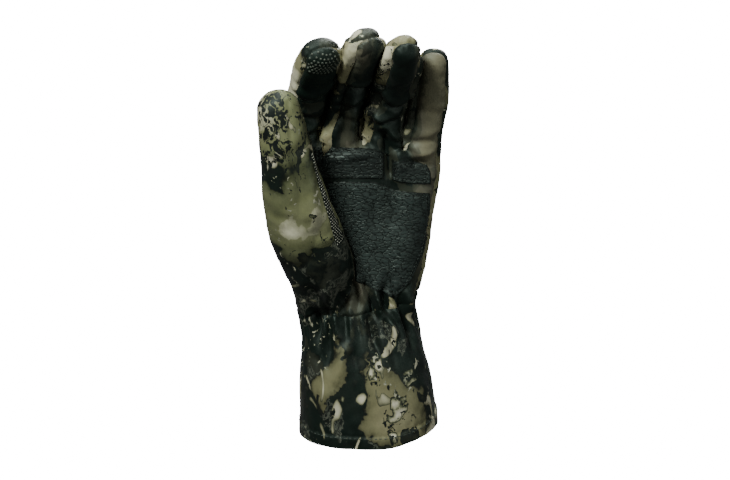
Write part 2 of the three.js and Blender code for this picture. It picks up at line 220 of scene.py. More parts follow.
# %% [markdown]
# ## The tubes
# A tube could be lofted from curves, but extruding one ring of edges again and again is closer to how
# a shape grows in edit mode: the ring is pulled to the next cut and turned and scaled to fit it.
# The last rings shrink over the fingertip, and both ends are filled.

# %% Extrude a tube ring by ring
def ring_matrix(centre, across, forward, along, width, depth):
    matrix = Matrix((across * width, forward * depth, along)).transposed().to_4x4()
    matrix.translation = centre
    return matrix


def tube(form, matrices, squareness):
    """Grows a closed tube; a squareness of 2 makes ovals, and more makes rounded boxes."""
    verts = bmesh.ops.create_circle(form, segments=56, radius=1)["verts"]
    for v in verts:
        v.co *= (abs(v.co.x) ** squareness + abs(v.co.y) ** squareness) ** (-1 / squareness)
    edges = list({e for v in verts for e in v.link_edges})
    bmesh.ops.transform(form, matrix=matrices[0], verts=verts)
    bmesh.ops.holes_fill(form, edges=edges)
    for before, after in zip(matrices, matrices[1:]):
        grown = bmesh.ops.extrude_edge_only(form, edges=edges)["geom"]
        verts = [g for g in grown if isinstance(g, bmesh.types.BMVert)]
        there = set(verts)
        edges = [g for g in grown if isinstance(g, bmesh.types.BMEdge) and all(v in there for v in g.verts)]
        bmesh.ops.transform(form, matrix=after @ before.inverted(), verts=verts)
    bmesh.ops.holes_fill(form, edges=edges)


def finger_tube(form, name):
    last = len(TUBES[name]) - 1
    matrices = [ring_matrix(*stance(name, s)) for s in np.linspace(0, last, 4 * last + 1)]
    centre, across, forward, along, width, depth = stance(name, last)
    for bend in np.radians([20, 38, 54, 68, 80]):
        small = math.cos(bend)
        over_tip = centre + along * TIPS[name] * math.sin(bend)
        matrices.append(ring_matrix(over_tip, across, forward, along, width * small, depth * small))
    tube(form, matrices, 2.3)


glove_form = bmesh.new()
for name in TUBES:
    finger_tube(glove_form, name)
print("fingers and thumb:", len(glove_form.faces), "faces")

# %% [markdown]
# The hand's tube stands straight up, so its rings stay level. Its top closes in a low ridge between the
# fingers, and the ridge is lifted or lowered at each crotch.

# %% Raise the hand
CROTCHES = [[-60, -2], [-31, 1], [-4.5, 3.5], [22, -4.5], [55, -8]]  # x, and how far the ridge is lifted
RIDGE = 8.5


def level_matrix(x, y, z, width, depth):
    return ring_matrix(Vector((x, y, z)), RIGHT, FRONT, UP, width, depth)


levels = [level_matrix(*reading(HAND, s)) for s in np.linspace(0, len(HAND) - 1, 4 * len(HAND))]
x, y, z, width, depth = HAND[-1]
for bend in np.radians([18, 34, 50, 66, 80]):
    small = math.cos(bend)
    levels.append(level_matrix(x, y - 1, z + RIDGE * math.sin(bend), width * (0.82 + 0.18 * small),
                               depth * (0.35 + 0.65 * small)))
before = set(glove_form.verts)
tube(glove_form, levels, 2.4)
for v in glove_form.verts:
    if v not in before and v.co.z > z + 0.5:
        lift = np.interp(v.co.x, *np.transpose(CROTCHES))
        v.co.z += lift * min(1, (v.co.z - z) / 8)
bmesh.ops.recalc_face_normals(glove_form, faces=glove_form.faces)
print("all tubes:", len(glove_form.faces), "faces")

# %% [markdown]
# ## One skin
# The tubes run into each other. A real glove has one continuous surface with soft hollows between the
# fingers. Boolean unions would join the tubes with hard creases, so a voxel remesh is used: it wraps
# them all in one even skin of small squares, which a few rounds of smoothing then relax.

# %% Wrap the tubes in one skin
CELL = 1.0
ROUNDS = 9


def wrapped(form, cell):
    """One closed mesh of even squares around everything in the form."""
    tubes = object_of("tubes", form)
    wrap = tubes.modifiers.new("wrap", "REMESH")
    wrap.mode = "VOXEL"
    wrap.voxel_size = cell
    skin_mesh = bpy.data.meshes.new_from_object(tubes.evaluated_get(bpy.context.evaluated_depsgraph_get()))
    bpy.data.objects.remove(tubes)
    return skin_mesh


def relax(form, verts, factor):
    bmesh.ops.smooth_vert(form, verts=verts, factor=factor, use_axis_x=True, use_axis_y=True,
                          use_axis_z=True)


skin = bmesh.new()
skin.from_mesh(wrapped(glove_form, CELL))
for _ in range(ROUNDS):
    relax(skin, skin.verts, 0.5)
print("skin:", len(skin.faces), "faces")

# %% [markdown]
# ## Finding the way on the cloth
# To sew the panels, every point of the skin has to know where it lies: on which finger, how far from
# its root and its tip, and how far to the side and to the front of the finger's middle line. Painted
# vertex groups could hold this too, but the tubes' tables already know it.

# %% Small helpers for points
def smooth(t):
    """A soft step from 0 to 1."""
    t = np.clip(t, 0, 1)
    return t * t * (3 - 2 * t)


def spots_of(form):
    return np.array([v.co for v in form.verts])


def middles_of(form):
    return np.array([f.calc_center_median() for f in form.faces])


def keep_faces(form, keep):
    bmesh.ops.delete(form, geom=[f for f, good in zip(form.faces, keep) if not good], context="FACES")


def ripple(spots, size, seed):
    """An uneven wave between about -1 and 1, the sum of nine plain ones; size is its wavelength."""
    chance = np.random.default_rng(seed)
    wave = np.zeros(len(spots))
    for _ in range(9):
        way = chance.normal(size=3)
        way *= 2 * math.pi / (size * chance.uniform(0.7, 1.5) * np.linalg.norm(way))
        wave += np.sin(spots @ way + chance.uniform(0, 6.28))
    return wave / 4


print("ripple at the origin:", np.round(ripple(np.zeros((1, 3)), 20, 1), 2))

# %% Measure every point against a tube
def lie(spots, name):
    """Where each point lies on a tube: distances in mm, its step in the table, and reach, 1 on the tube."""
    rows = TUBES[name]
    steps = np.linspace(0, len(rows) - 1, 110)
    stances = [stance(name, s) for s in steps]
    centre, across, forward, along, width, depth = (np.array([s[k] for s in stances]) for k in range(6))
    run = np.concatenate([[0], np.cumsum(np.linalg.norm(np.diff(centre, axis=0), axis=1))])
    # in blocks of some 8000 points, to spare memory
    blocks = np.array_split(spots, max(1, len(spots) // 8000))
    near = np.concatenate([((b[:, None] - centre[None]) ** 2).sum(2).argmin(1) for b in blocks])
    gap = spots - centre[near]
    aside = (gap * across[near]).sum(1)
    ahead = (gap * forward[near]).sum(1)
    onward = (gap * along[near]).sum(1)
    reach = np.sqrt((aside / width[near]) ** 2 + (ahead / depth[near]) ** 2 + (onward / depth[near]) ** 2)
    return {"aside": aside, "ahead": ahead, "from_root": run[near] + onward, "row": steps[near],
            "to_tip": run[-1] + TIPS[name] - run[near] - onward, "reach": reach, "half": depth[near]}


def nearest_finger(tubes):
    """Every finger's reach, which finger each point belongs to, and where it lies on that one."""
    reach = np.array([tubes[name]["reach"] for name in FINGERS])
    mine = reach.argmin(0)
    keys = ("aside", "ahead", "to_tip", "half")
    return reach, mine, {key: np.choose(mine, [tubes[name][key] for name in FINGERS]) for key in keys}


along_index = lie(np.array([[-42.0, -18, 215]]), "index")["from_root"][0]
print("a point on the index lies", round(float(along_index), 1), "mm from its root")

# %% [markdown]
# ## Seam lines
# A seam is where a measured value passes zero: the front seam runs where the finger's side turns
# to the palm, the back seam where it turns to the back, and the thumb's seam round the thumb's root.
# Where such a line crosses an edge of the skin the edge is split, and the new points are joined across
# the faces, as the knife tool would do. The cloth can then be cut into panels along clean lines.

# %% Say where the seams run
WRIST = 90
HAND_SEAM = -8.5
FINGER_START = 174
FINGER_BLEND = 24
TIP_RUN = 17
# shares of a finger's half depth: where both seams lie at the tip, and how far they part below it
TIP_LINE, FRONT_PART, BACK_PART = 0.12, 0.5, 0.74
THUMB_EDGE = 1.1  # the thumb's panel reaches this far
THUMB_DEPTH = 15


def front_line(here):
    """Above zero on a finger's palm side; over the tip this line meets the back one."""
    return here["ahead"] - (TIP_LINE + FRONT_PART * smooth(here["to_tip"] / TIP_RUN)) * here["half"]


def seam_values(spots):
    """Front, back and thumb seam, above zero on their own panel's side, and the number of the gap."""
    tubes = {name: lie(spots, name) for name in TUBES}
    reach, mine, here = nearest_finger(tubes)
    finger = smooth((spots[:, 2] - FINGER_START) / FINGER_BLEND)
    palm = -spots[:, 1] + HAND_SEAM
    front = finger * front_line(here) + (1 - finger) * palm
    back = (TIP_LINE - BACK_PART * smooth(here["to_tip"] / TIP_RUN)) * here["half"] - here["ahead"]
    back = finger * back - (1 - finger) * palm
    aside = here["aside"]
    between = ~(((mine == 0) & (aside < 0)) | ((mine == 3) & (aside > 0)))
    gap = np.clip(mine - (aside < 0), 0, 2)
    back = np.where(between, back, -front)
    thumb = (THUMB_EDGE - tubes["thumb"]["reach"]) * THUMB_DEPTH
    return front, back, thumb, gap


def hem_lift(x):
    """The cuff's end rises by 6 mm towards the little finger's side."""
    return 6 * smooth((x - 8) / 40)


def hem_height(spots):
    return spots[:, 2] - hem_lift(spots[:, 0])


def above_wrist(spots):
    return spots[:, 2] - WRIST - 0.11 * (spots[:, 0] + 8) - 1.7 * ripple(spots, 27, 9)


print("front seam value on the palm:", np.round(seam_values(np.array([[0.0, -19, 150]]))[0], 1))

# %% Cut the skin along a line
ON_LINE = 0.08


def cut_along(form, values):
    """Splits the edges where the value passes zero and joins the new points across the faces."""
    layer = form.verts.layers.float.get("line") or form.verts.layers.float.new("line")
    for v, value in zip(form.verts, values):
        v[layer] = 0.0 if abs(value) < ON_LINE else value
    on_line = [v for v in form.verts if v[layer] == 0.0]
    for edge in [e for e in form.edges if e.verts[0][layer] * e.verts[1][layer] < 0]:
        a, b = edge.verts
        share = a[layer] / (a[layer] - b[layer])
        _, new = bmesh.utils.edge_split(edge, a, share)
        new[layer] = 0.0
        on_line.append(new)
    bmesh.ops.connect_verts(form, verts=on_line)
    return len(on_line)


print("hem:", cut_along(skin, hem_height(spots_of(skin))))
keep_faces(skin, hem_height(middles_of(skin)) >= 0)
for k in range(3):
    print("seam", k, cut_along(skin, seam_values(spots_of(skin))[k]))
print("wrist:", cut_along(skin, above_wrist(spots_of(skin))))

# %% [markdown]
# The lines now part the skin into panels. Each face is asked on which side of every seam its middle
# lies. The panels could be cut apart at once, but then each would be pushed into folds on its own, and
# the seams would open. So the skin stays whole for now, and a face's material number says its panel.

# %% Name the panel of every face
PANELS = ["cuff", "thumb", "palm_panel", "back_panel", "fourchette_index_middle", "fourchette_middle_ring",
          "fourchette_ring_little"]
middles = middles_of(skin)
front, back, thumb, gap = seam_values(middles)
panel_of = np.where(front > 0, 2, np.where(back > 0, 3, 4 + gap))
panel_of = np.where(thumb > 0, 1, panel_of)
panel_of = np.where(above_wrist(middles) < 0, 0, panel_of)
for f, number in zip(skin.faces, panel_of):
    f.material_index = int(number)
print({name: int((panel_of == k).sum()) for k, name in enumerate(PANELS)})

# %% [markdown]
# ## Folds, creases and puckers
# Worn cloth is never smooth. It is gathered at the wrist, folds where a finger bends, sinks in at
# every seam and puckers beside the thread. These could be sculpted by hand or simulated, but the
# photograph shows where each fold lies, so they are written down: every point of the skin is pushed in
# or out along its normal by the sum of all the folds it belongs to. The wrist comes first: an elastic
# gathers the cloth there in small pleats, and some of them run on as long folds into cuff and hand.

# %% Wrist gathers and cuff folds
PLEATS = 24
PLEAT_HEIGHT = 1.6
# angle round the cuff, half width in degrees, height (below zero for a valley), lowest and highest z, drift
FOLDS = [
    [242, 5, -3.0, 48, 108, 0.22], [256, 5, -2.8, 46, 112, -0.18], [272, 4.5, -2.6, 62, 124, 0.02],
    [284, 5, -3.2, 48, 122, -0.2], [297, 5, -2.6, 52, 118, -0.12], [309, 5, -3.0, 46, 120, 0.16],
    [326, 6, -3.0, 60, 122, -0.5], [249, 14, 1.6, 14, 92, 0.25], [291, 12, 1.8, 40, 84, -0.12],
    [318, 12, 1.4, 20, 88, -0.1], [225, 9, -2.0, 40, 116, 0.1], [352, 9, -2.4, 52, 118, 0],
    [20, 9, -2.8, 40, 124, 0.12], [44, 8, -2.4, 58, 116, -0.1], [66, 9, -3.0, 44, 126, 0.08],
    [92, 8, -2.4, 52, 120, 0], [118, 9, -3.0, 42, 122, -0.1], [142, 8, -2.2, 56, 116, 0.08],
    [166, 9, -2.8, 46, 120, 0], [196, 9, -2.4, 50, 118, 0.06], [80, 16, 1.6, 12, 80, 0],
    [150, 16, 1.6, 16, 84, 0],
]


def gathers(spots):
    """The pleats at the wrist, and the long folds that run up and down cuff and hand."""
    z = spots[:, 2]
    rows = np.array(HAND, float)
    x = spots[:, 0] - np.interp(z, rows[:, 2], rows[:, 0])
    turn = np.arctan2(spots[:, 1], x)
    angle = np.degrees(turn) % 360
    around = np.column_stack([np.cos(turn), np.sin(turn), np.zeros(len(turn))])
    up = above_wrist(spots)
    reach = np.where(up > 0, 13 + 6 * ripple(around, 0.6, 7), 21 + 10 * ripple(around, 0.6, 8))
    near = np.exp(-((up / np.maximum(reach, 6)) ** 2))
    wander = 1.6 * ripple(around, 1.2, 5) + 0.022 * up * ripple(around, 0.8, 6)
    pleat = 1.9 * np.abs(np.sin(turn * PLEATS / 2 + wander)) - 1.25
    push = PLEAT_HEIGHT * near * pleat
    for at, width, height, low, high, drift in FOLDS:
        fade = smooth((z - low) / 20) * smooth((high - z) / 16)
        away = angle - at - drift * (z - WRIST)
        away = np.abs(away - 360 * np.round(away / 360)) / width
        push += height * fade * np.exp(-(away ** (1.25 if height < 0 else 2)))
    return push * np.where(z > WRIST + 60, 0, 1)


deepest = gathers(np.array([[30.0, -20, 88], [-30, -25, 92], [0, -28, 90]])).min()
print("deepest gather:", round(float(deepest), 2))

# %% [markdown]
# On the palm's side, long folds lie where the fingers and the thumb pull at the cloth. A simulation would
# make folds too, but others than these. So each fold is a straight line with a width and a height.

# %% Folds that the photograph shows on the palm side
FOLD_STRENGTH = 1.9
# from x, z to x, z on the front, half width, height (below zero for a valley)
FRONT_FOLDS = [
    [-9.6, 233, -9.6, 206, 4.2, 1.7], [-16.2, 228, -18.8, 201, 2.8, -1.8],
    [-15.5, 223, -28.7, 200, 3.2, 1.7], [-5, 227, -6.3, 201, 2.3, -1.7],
    [2.3, 226, 19.5, 202, 3.6, 1.7], [10.2, 211, 14.4, 184, 3.2, -3.2],
    [14.4, 184, 17, 152, 4.5, -2.2], [-6, 174, 1, 140, 7, 1.5], [30, 168, 24, 122, 9, 1.3],
    [20.8, 202, 19.5, 182, 4.4, 1.4], [27, 201, 39, 194, 3.6, 0.9], [-32, 196, -14, 199, 2.6, -1.2],
    [-24, 193, -2, 196, 2.4, 0.9], [24, 193, 40, 188, 2.2, -0.9], [5, 172, 0, 140, 13, -2.2],
    [-12, 116, -5, 98, 2.6, -2.4], [-7, 112, 0, 92, 2.4, 2.2], [-2, 110, 6, 88, 2.4, -2.6],
    [3, 106, 10, 88, 2.4, 2.2], [9, 106, 15, 86, 2.4, -2.4], [14, 103, 20, 86, 2.4, 2.0],
    [20, 104, 25, 86, 2.4, -2.2], [25, 102, 29, 88, 2.4, 1.8], [12, 92, 17.5, 76, 2.6, 1.9],
    [-1.5, 96, 4, 70, 2.8, -2.6], [-23.4, 96, -20, 76, 2.8, 2.4], [-34, 91, -32, 62, 3.8, -2.3],
    [-28.7, 85, -34, 62, 3.0, 2.0], [-15.5, 66, -20, 48, 3.4, 1.2], [-11, 90, -12, 68, 2.8, 1.6],
    [27.4, 83, 30, 62, 3.4, -2.0], [33, 92, 37, 70, 2.6, 1.4], [-17, 92, -15, 74, 2.4, -1.8],
    [8, 84, 14, 66, 3, 1.2], [-42, 118, -33, 104, 3.0, -1.2], [-20, 118, -17, 100, 2.6, -1.4],
    [-28, 112, -27, 96, 2.4, 1.2], [-36, 124, -22, 112, 2.4, 0.8],
]
THUMB_FOLDS = [
    [-37, 200, -34, 158, 3.2, 0.8], [-44, 206, -43, 166, 3.4, -0.7], [-50, 240, -48, 204, 1.4, -0.7],
    [-58, 196, -52, 160, 3.4, -0.6], [-30, 160, -38, 132, 4.0, -0.8], [-50, 150, -40, 124, 4.0, 0.7],
]


def line_pushes(spots, facing, lines):
    """Folds along straight lines, which fade at their ends."""
    flat = spots[:, [0, 2]]
    push = np.zeros(len(spots))
    for x1, z1, x2, z2, width, height in lines:
        start, run = np.array([x1, z1]), np.array([x2 - x1, z2 - z1])
        share = np.clip(((flat - start) @ run) / (run @ run), 0, 1)
        away = np.linalg.norm(flat - start - share[:, None] * run, axis=1)
        ends = 0.35 + 0.65 * np.sin(math.pi * (0.12 + 0.76 * share))
        push += FOLD_STRENGTH * height * ends * np.exp(-((away / width) ** (1.4 if height < 0 else 2)))
    return push * facing


print("folds on the palm:", len(FRONT_FOLDS), "and on the thumb:", len(THUMB_FOLDS))

# %% [markdown]
# A bent finger creases its cloth across the front, on the palm's side. Each crease is a valley with a
# soft ridge towards the tip and a shallow hollow towards the root. At the seams the cloth sinks in and
# puckers beside the thread, and the turned-up hem stands out as a double layer.

# %% Creases where the fingers bend
# tube, place in table rows, half width in mm, depth, slant, bow towards the tip at the sides
CREASES = [
    ["index", 3.75, 2.8, 4, 0.3, 3], ["index", 2.5, 2.6, 1.6, -0.3, 0], ["index", 1.5, 2.2, 1.5, 0.35, 0],
    ["middle", 4, 2.8, 4.2, 0.1, 3], ["middle", 3, 2.4, 1.8, 0.4, 0], ["middle", 2.1, 2.6, 1.2, -0.2, 0],
    ["ring", 3.2, 2.8, 3.8, -0.22, 3.5], ["ring", 2.2, 2.6, 1.6, 0.3, 0], ["ring", 1.4, 2.2, 1.2, -0.3, 0],
    ["little", 1.7, 2.4, 1.3, 0.35, 0], ["little", 3.2, 2.8, 0.7, -0.2, 0],
    ["little", 0.8, 2.4, 1.4, 0.4, 0], ["thumb", 6.3, 3.6, 0.6, 0.5, 0],
    ["thumb", 4.3, 5.0, 0.6, -0.6, 0], ["thumb", 3.2, 4.4, 0.7, 0.3, 0],
]


def crease_pushes(spots, tubes):
    """Valleys across the fingers and the thumb, where they bend."""
    push = np.zeros(len(spots))
    waver = 0.35 * ripple(spots, 12, 6)
    for name, row, width, depth, slant, bow in CREASES:
        here = tubes[name]
        at = lie(np.array([reading(TUBES[name], row)[:3]]), name)["from_root"][0]
        away = (here["from_root"] - at - slant * here["aside"] - bow * (here["aside"] / 10) ** 2) / width
        away += waver
        on = smooth((1.35 - here["reach"]) / 0.2) * smooth(here["ahead"] / here["half"] * 1.3 + 0.1)
        push += on * depth * (0.38 * np.exp(-((away - 2.0) ** 2) / 2.2) - np.exp(-(away**2))
                              - 0.32 * np.exp(-((away + 2.4) ** 2) / 3.5))
    return push


print("creases:", len(CREASES))

# %% Sink the seams and pucker the cloth beside them
PUCKER_STEP = 5.2
PUCKER_HEIGHT = 0.42
SEAM_DEPTH = 0.75
SEAM_SAG = 0.55  # a wider, softer dip beside the seam
HEM = 8.6
HEM_PUCKERS = 43


def seam_distance(form, spots):
    """How far each point is from a seam, and the seam's nearest point."""
    on_seam = [v for v in form.verts if len({f.material_index for f in v.link_faces}) > 1]
    tree = KDTree(len(on_seam))
    for k, v in enumerate(on_seam):
        tree.insert(v.co, k)
    tree.balance()
    found = [tree.find(s) for s in spots]
    return np.array([f[2] for f in found]), np.array([f[0] for f in found])


def seam_pushes(away, nearest):
    stitch = nearest @ np.array([1.0, 0.7, 1.0]) + 2.2 * ripple(nearest, 17, 3)
    strength = 0.55 + 0.45 * ripple(nearest, 30, 4)
    pucker = np.sin(stitch * 2 * math.pi / PUCKER_STEP) * np.exp(-((away - 2.0) / 2.4) ** 2)
    groove, sag = SEAM_DEPTH * np.exp(-((away / 1.1) ** 2)), SEAM_SAG * np.exp(-away / 4.0)
    return PUCKER_HEIGHT * strength * pucker - groove - sag


def hem_pushes(spots):
    height = hem_height(spots)
    band = 0.7 * smooth((HEM - height) / 0.9) - 0.35 * np.exp(-(((height - HEM - 0.4) / 0.7) ** 2))
    pucker = np.sin(np.arctan2(spots[:, 1], spots[:, 0]) * HEM_PUCKERS)
    return band + 0.25 * pucker * np.exp(-(((height - HEM - 0.4) / 4) ** 2))


away, nearest = seam_distance(skin, spots_of(skin))
print("farthest point from a seam:", round(float(away.max()), 1), "mm")

# %% [markdown]
# The fingers lie side by side, and their cloth touches. So cloth that looks at the next finger across a
# narrow gap is pushed a little over half the way to it. Then all the pushes are added up and made once,
# because a second push along new normals would sharpen every fold.

# %% Let neighbouring fingers touch
HALF_FINGER = 11.8
FORK = 193  # the height where the fingers part
WIDEST_GAP = 9
PAST_HALF = 1.3
MOST_PUSH = 4


def spread(form, values, rounds):
    """Averages a value with the points beside it."""
    ends = np.array([[v.index for v in e.verts] for e in form.edges])
    count = np.bincount(ends.ravel(), minlength=len(values))
    for _ in range(rounds):
        beside = np.bincount(ends[:, 0], values[ends[:, 1]], len(values))
        beside += np.bincount(ends[:, 1], values[ends[:, 0]], len(values))
        values = (values + beside / count) / 2
    return values


def touch_pushes(spots, normals, tubes):
    """A little over half the way to the next finger, for cloth that looks at it across a narrow gap."""
    reach, mine, here = nearest_finger(tubes)
    ahead = here["ahead"] / here["half"]
    push = np.zeros(len(spots))
    for k in range(len(FINGERS)):
        gap = (reach[k] - 1) * HALF_FINGER
        side = np.where(mine < k, 1, -1) * normals[:, 0]
        near = (np.abs(mine - k) == 1) & (spots[:, 2] > FORK)
        near = near * smooth((side - 0.1) / 0.5) * smooth((WIDEST_GAP - gap) / 3)
        push += near * np.clip(gap / 2 + PAST_HALF, 0, MOST_PUSH)
    push *= smooth((here["to_tip"] - 5) / 9)
    return push * smooth((0.75 - ahead) / 0.4) * smooth((ahead + 0.95) / 0.4)


skin.normal_update()
skin.verts.index_update()
spots = spots_of(skin)
normals = np.array([v.normal for v in skin.verts])
tubes = {name: lie(spots, name) for name in TUBES}
touch = spread(skin, touch_pushes(spots, normals, tubes), 5)
print("fingers are pushed together by up to", round(float(touch.max()), 1), "mm")

# %% Push the skin
facing = smooth((-normals[:, 1] - 0.1) / 0.4)
not_thumb = smooth((tubes["thumb"]["reach"] - 1.0) / 0.25)
low = smooth((118 - spots[:, 2]) / 10)
push = gathers(spots) + line_pushes(spots, facing * np.maximum(not_thumb, low), FRONT_FOLDS)
push += line_pushes(spots, facing * (1 - not_thumb), THUMB_FOLDS)
push += crease_pushes(spots, tubes) + seam_pushes(away, nearest) + hem_pushes(spots) + touch
push += 0.42 * ripple(spots, 21, 1) + 0.16 * ripple(spots, 8, 2)
for v, share in zip(skin.verts, push):
    v.co += v.normal * float(share)
relax(skin, [v for v in skin.verts if not v.is_boundary], 0.35)
skin.normal_update()
print("pushed between", round(float(push.min()), 1), "and", round(float(push.max()), 1), "mm")

# %% [markdown]
# ## Finishes
# The cloth is a printed softshell. Its print could be painted as a picture, but a picture has a fixed
# size and seams of its own, so the print is built from noise, layer over layer. A small class keeps
# the node trees readable: most of its methods add a node or two and give back the last one's output.

# %% Helpers for finishes
def tone(code, alpha=1.0):
    """A colour from its web code, in the linear values that shaders use."""
    parts = [int(code[k:k + 2], 16) / 255 for k in (1, 3, 5)]
    return tuple(c / 12.92 if c <= 0.04045 else ((c + 0.055) / 1.055) ** 2.4 for c in parts) + (alpha,)


class Finish:
    """A material whose nodes are added one after the other; its gloss is faintly green."""

    def __init__(self, name, roughness, sheen=0.0):
        self.material = bpy.data.materials.new(name)
        self.material.use_nodes = True
        self.tree = self.material.node_tree
        self.shader = self.tree.nodes["Principled BSDF"]
        self.feed_named(self.shader, Roughness=roughness, Specular_IOR_Level=0.38,
                        Specular_Tint=(0.8, 1.0, 0.86, 1), Sheen_Weight=sheen, Sheen_Roughness=0.45)
        self.place = self.add("ShaderNodeTexCoord").outputs["Object"]

    def feed(self, socket, value):
        """Links an output to the socket, or sets the socket to a plain value."""
        if isinstance(value, bpy.types.NodeSocket):
            self.tree.links.new(value, socket)
        else:
            socket.default_value = value

    def feed_named(self, node, **inputs):
        for key, value in inputs.items():
            self.feed(node.inputs[key.replace("_", " ")], value)
        return node

    def add(self, kind, settings=None, **inputs):
        node = self.tree.nodes.new(kind)
        for key, value in (settings or {}).items():
            setattr(node, key, value)
        return self.feed_named(node, **inputs)

    def done(self, **inputs):
        self.feed_named(self.shader, **inputs)
        return self.material

    def moved(self, shift, scale=(1, 1, 1), turn=(0, 0, 0)):
        return self.add("ShaderNodeMapping", Vector=self.place, Location=shift, Scale=scale,
                        Rotation=turn).outputs["Vector"]

    def noise(self, where, scale, detail=2.0, rough=0.5, distortion=0.0):
        return self.add("ShaderNodeTexNoise", Vector=where, Scale=scale, Detail=detail, Roughness=rough,
                        Distortion=distortion).outputs["Fac"]

    def wobbled(self, where, scale, detail, share):
        """The same place, pushed about a little by a finer noise, so that outlines wander."""
        push = self.add("ShaderNodeTexNoise", Vector=where, Scale=scale, Detail=detail).outputs["Color"]
        node = self.add("ShaderNodeMixRGB", {"blend_type": "LINEAR_LIGHT"}, Fac=share)
        self.feed(node.inputs[1], where)
        self.feed(node.inputs[2], push)
        return node.outputs[0]

    def math(self, a, b, how="ADD"):
        node = self.add("ShaderNodeMath", {"operation": how})
        self.feed(node.inputs[0], a)
        self.feed(node.inputs[1], b)
        return node.outputs[0]

    def ramp(self, value, stops):
        """Colours or greys that follow a value; a stop is a place on the ramp and its colour or grey."""
        node = self.add("ShaderNodeValToRGB", Fac=value)
        while len(node.color_ramp.elements) < len(stops):
            node.color_ramp.elements.new(0.5)
        for element, (at, colour) in zip(node.color_ramp.elements, stops):
            element.position = at
            element.color = tone(colour) if isinstance(colour, str) else (colour, colour, colour, 1)
        return node.outputs["Color"]

    def mix(self, share, under, over, how="MIX"):
        node = self.add("ShaderNodeMix", {"data_type": "RGBA", "blend_type": how})
        for socket, value in zip((node.inputs[0], node.inputs[6], node.inputs[7]), (share, under, over)):
            self.feed(socket, value)
        return node.outputs[2]

    def print_over(self, under, value, start, full, over, most=1.0):
        """Prints a colour, or colours that follow the value, where the value passes from start to full."""
        share = self.ramp(value, sorted([(start, 0.0), (full, most)]))
        return self.mix(share, under, self.ramp(value, over) if isinstance(over, list) else over)

    def relief(self, height, depth, strength=1.0, under=None):
        node = self.add("ShaderNodeBump", Height=height, Distance=depth, Strength=strength)
        if under is not None:
            self.feed(node.inputs["Normal"], under)
        return node.outputs["Normal"]


print("black-green of the cloth:", np.round(tone("#0a1412"), 4))

# %% [markdown]
# ### The weave
# Softshell is knitted so finely that it looks smooth from a metre away. Close up there are ribs of about
# half a millimetre. Two crossed waves make them, and a little noise keeps them from looking ruled.
# Modelled threads would be millions of faces, so the ribs are bump only.

# %% The weave and the wear of the cloth
def woven(finish):
    bent = finish.noise(finish.place, 420, 2)
    across = finish.add("ShaderNodeTexWave", {"wave_type": "BANDS", "bands_direction": "DIAGONAL"},
                        Vector=finish.place, Scale=520, Distortion=1.2, Detail=1).outputs["Fac"]
    upward = finish.add("ShaderNodeTexWave", {"wave_type": "BANDS", "bands_direction": "Z"},
                        Vector=finish.place, Scale=680, Distortion=1.0, Detail=1).outputs["Fac"]
    ribs = finish.math(finish.math(across, upward, "MULTIPLY"), bent)
    uneven = finish.relief(finish.noise(finish.place, 90, 3), 0.0006, 0.35)
    return finish.relief(ribs, 0.00004, 0.8, uneven)


def finish_cloth(finish, colour):
    """Colour, a slightly uneven gloss and the weave."""
    cloudy = finish.noise(finish.place, 130, 4, 0.6)
    worn = finish.mix(1.0, colour, finish.ramp(cloudy, [(0.3, 0.86), (0.7, 1.0)]), "MULTIPLY")
    gloss = finish.ramp(cloudy, [(0.3, 0.66), (0.7, 0.5)])
    return finish.done(Base_Color=worn, Roughness=gloss, Normal=woven(finish))


print("cloth is rough between 0.5 and 0.66")

# %% [markdown]
# ### The printed cloth
# The print has large soft blotches with dark outlines on a black-green ground, darker patches, streaks,
# small pebbles and fine specks. One noise of each size makes one layer, and where it passes a border the
# layer lies over the ones before it. Every panel shifts the pattern, because panels are cut from
# different places of the cloth, and some panels show more of the pale blotches than others. So a
# lightness that changes along an axis is added to the blotches' noise. On the side strips it also paints
# shade under the bent fingertips and in the gap between ring and little finger, and on the thumb it
# paints part of a highlight on its outer side.

# %% Paler and darker places
def bias(finish, axis, stops):
    """A lightness that changes along an axis; stops are a place in mm and what it adds to the pattern."""
    low, high = stops[0][0], stops[-1][0]
    along = finish.add("ShaderNodeSeparateXYZ", Vector=finish.place).outputs[axis]
    share = finish.add("ShaderNodeMapRange", Value=along, From_Min=low * MM, From_Max=high * MM)
    greys = [((at - low) / (high - low), 0.5 + more) for at, more in stops]
    return finish.math(finish.ramp(share.outputs["Result"], greys), 0.5, "SUBTRACT")


KHAKI = [(0.535, "#020503"), (0.541, "#15180d"), (0.546, "#3f442b"), (0.575, "#5a5f42"), (0.64, "#6a6f4b"),
         (0.702, "#757957"), (0.708, "#989a7b"), (0.76, "#b4b498")]
TAN = [(0.535, "#020503"), (0.541, "#1a1b10"), (0.546, "#53533a"), (0.575, "#6c6c4d"), (0.62, "#7b7a59"),
       (0.676, "#858363"), (0.682, "#a09f7e"), (0.735, "#bebda0")]
print("khaki steps:", len(KHAKI), "tan steps:", len(TAN))

# %% The layers of the print
def dark_ground(finish, bent):
    """Black-green cloth with brown patches and grey veined ones."""
    colour = finish.ramp(finish.noise(bent, 34, 2),
                         [(0.40, "#000b05"), (0.52, "#03100a"), (0.62, "#0c150e")])
    brown = finish.noise(bent, 27, 1.5, 0.4)
    colour = finish.print_over(colour, brown, 0.575, 0.578,
                               [(0.577, "#020604"), (0.588, "#191c12"), (0.67, "#31342a")])
    grey = finish.noise(bent, 46, 1.2, 0.4, 0.5)
    vein = finish.noise(bent, 330, 2.5, 0.65, 1.5)
    veined = finish.ramp(vein, [(0.46, "#0d120d"), (0.50, "#363b31"), (0.60, "#575b4f")])
    return finish.print_over(colour, grey, 0.61, 0.614, veined)


